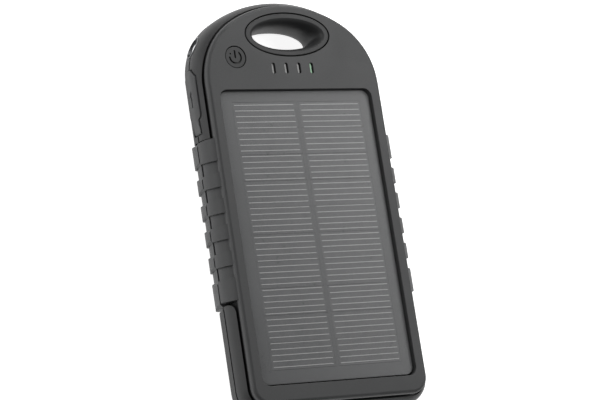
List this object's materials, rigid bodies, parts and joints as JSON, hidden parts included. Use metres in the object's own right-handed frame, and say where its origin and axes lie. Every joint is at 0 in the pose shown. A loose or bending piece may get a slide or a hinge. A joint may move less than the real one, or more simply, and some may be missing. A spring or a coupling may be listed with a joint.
{
  "type": "solar phone charger",
  "caption": "Rugged pocket power bank with a solar panel on its face, moulded handle opening, ribbed side grips, torch, power button, indicator lights and sealed charging ports.",
  "frame": {"origin": "middle of the bounding box of the back, on the plane the charger lies on", "axes": "+Z out of the solar panel, +Y towards the handle opening, +X to the right as the panel faces the viewer"},
  "size_m": [0.074, 0.1435, 0.015],
  "materials": {
    "cover_rubber": "satin, faint moulding grain",
    "case_plastic": "matt",
    "seal_silicone": "matt",
    "screw_steel": "blackened",
    "foam_tape": "matt",
    "panel_board": "matt laminate",
    "silicon": "smooth",
    "silver_ink": "printed, matt",
    "cell_filler": "matt",
    "clear_resin": "smooth",
    "button_rubber": "satin",
    "switch_plastic": "smooth",
    "plunger_plastic": "smooth",
    "light_pipe_clear": "frosted",
    "led_package": "smooth",
    "reflector_chrome": "vacuum metallised",
    "torch_clear": "polished",
    "circuit_green": "solder mask",
    "wire_jacket": "satin",
    "socket_steel": "nickel plated",
    "socket_plastic": "matt",
    "contact_gold": "gold plated",
    "flap_rubber": "satin",
    "component_black": "matt",
    "pouch_foil": "crinkled foil"
  },
  "bodies": {
    "case": {"front_cover": "cover_rubber", "rear_cover": "cover_rubber", "inner_case_front": "case_plastic", "inner_case_rear": "case_plastic", "case_gasket": "seal_silicone", "case_screws": "screw_steel", "panel_tape": "foam_tape", "panel_board": "panel_board", "solar_cells": "silicon", "cell_fingers": "silver_ink", "cell_bed": "cell_filler", "panel_resin": "clear_resin", "button_seal": "seal_silicone", "switch_body": "switch_plastic", "light_pipes": "light_pipe_clear", "indicator_leds": "led_package", "torch_reflector": "reflector_chrome", "torch_lens": "torch_clear", "torch_board": "circuit_green", "torch_leads": "wire_jacket", "usb_a_shell": "socket_steel", "usb_a_tongue": "socket_plastic", "usb_a_contacts": "contact_gold", "micro_usb_shell": "socket_steel", "micro_usb_tongue": "socket_plastic", "left_cover_foot": "flap_rubber", "right_cover_foot": "flap_rubber", "main_board": "circuit_green", "board_components": "component_black", "battery_cell": "pouch_foil", "battery_pads": "foam_tape", "protection_board": "circuit_green", "battery_leads": "wire_jacket", "panel_leads": "wire_jacket"},
    "button": {"power_button": "button_rubber"},
    "plunger": {"switch_plunger": "plunger_plastic"},
    "left_flap": {"left_port_cover": "flap_rubber"},
    "right_flap": {"right_port_cover": "flap_rubber"}
  },
  "joints": [
    {"name": "button_press", "type": "slide", "parent": "case", "child": "button", "axis": [0, 0, -1], "range_m": [0, 0.0005], "stiffness_N_per_m": 3000},
    {"name": "plunger_travel", "type": "slide", "parent": "case", "child": "plunger", "axis": [0, 0, -1], "range_m": [0, 0.0005]},
    {"name": "left_flap_hinge", "type": "hinge", "parent": "case", "child": "left_flap", "pos_m": [-0.0353, 0.0255, 0.0075], "axis": [0, 0, 1], "range_deg": [0, 90]},
    {"name": "right_flap_hinge", "type": "hinge", "parent": "case", "child": "right_flap", "pos_m": [0.0353, 0.0255, 0.0075], "axis": [0, 0, -1], "range_deg": [0, 90]}
  ],
  "couplings": [
    {"joint": "plunger_travel", "follows": "button_press", "ratio": 1}
  ]
}
